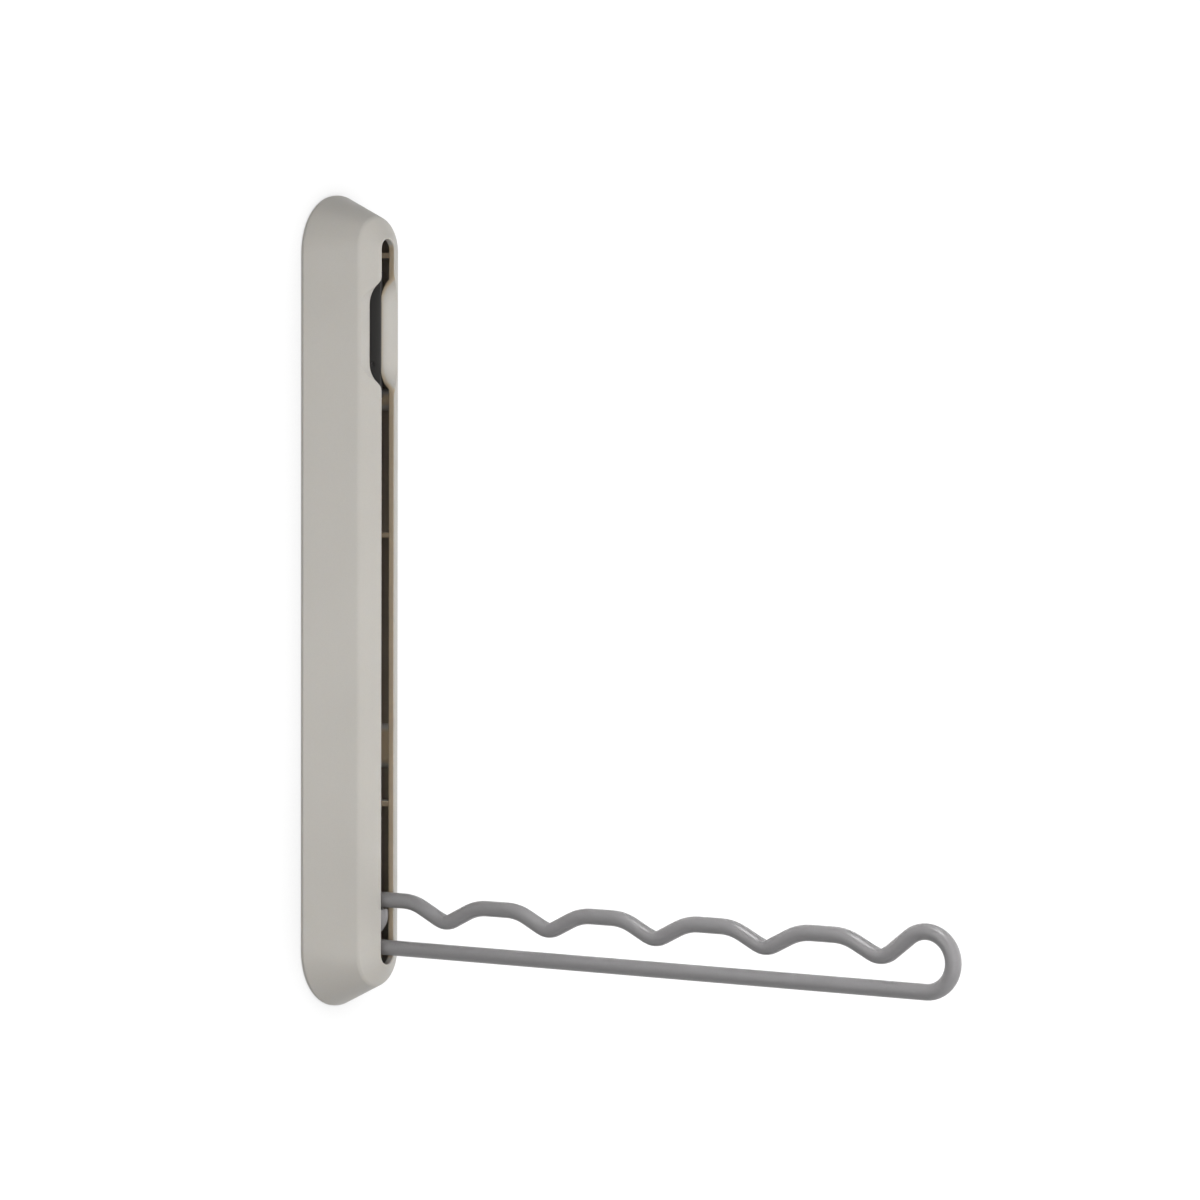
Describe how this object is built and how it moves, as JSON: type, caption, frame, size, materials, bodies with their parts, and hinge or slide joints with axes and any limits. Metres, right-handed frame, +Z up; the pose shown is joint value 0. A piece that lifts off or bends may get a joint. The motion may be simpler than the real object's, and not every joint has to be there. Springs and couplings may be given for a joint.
{
  "type": "retractable hanging rail",
  "caption": "Slim wall housing with a slot and finger scoop; a waved wire rail swings out of it to hang clothes hangers on and folds up along it.",
  "frame": {"origin": "centre of the wall face of the backplate, midway between the two wall screw holes", "axes": "+Z up, +Y into the wall, -Y out to the front along the open rail, X = 0 the plane of the slot and of the rail"},
  "size_m": [0.0476, 0.2774, 0.32],
  "materials": {
    "housing": "fine matt moulded, warm grey",
    "backplate": "matt moulded, charcoal",
    "rail": "satin powder coat, mid grey",
    "pin": "turned",
    "clip": "spring steel",
    "spacer": "natural nylon",
    "liner": "matt moulded, charcoal",
    "magnet": "nickel plated",
    "screw": "zinc plated"
  },
  "bodies": {
    "frame": {"housing": "housing", "backplate": "backplate", "pivot_pin": "pin", "pin_clips": "clip", "left_spacer": "spacer", "right_spacer": "spacer", "tip_liner": "liner", "catch_magnet": "magnet", "cover_screws": "screw"},
    "rail": {"rail_wire": "rail"}
  },
  "joints": [
    {"name": "rail_fold", "type": "hinge", "parent": "frame", "child": "rail", "pos_m": [0, -0.015, -0.12275], "axis": [-1, 0, 0], "range_deg": [0, 90]}
  ]
}
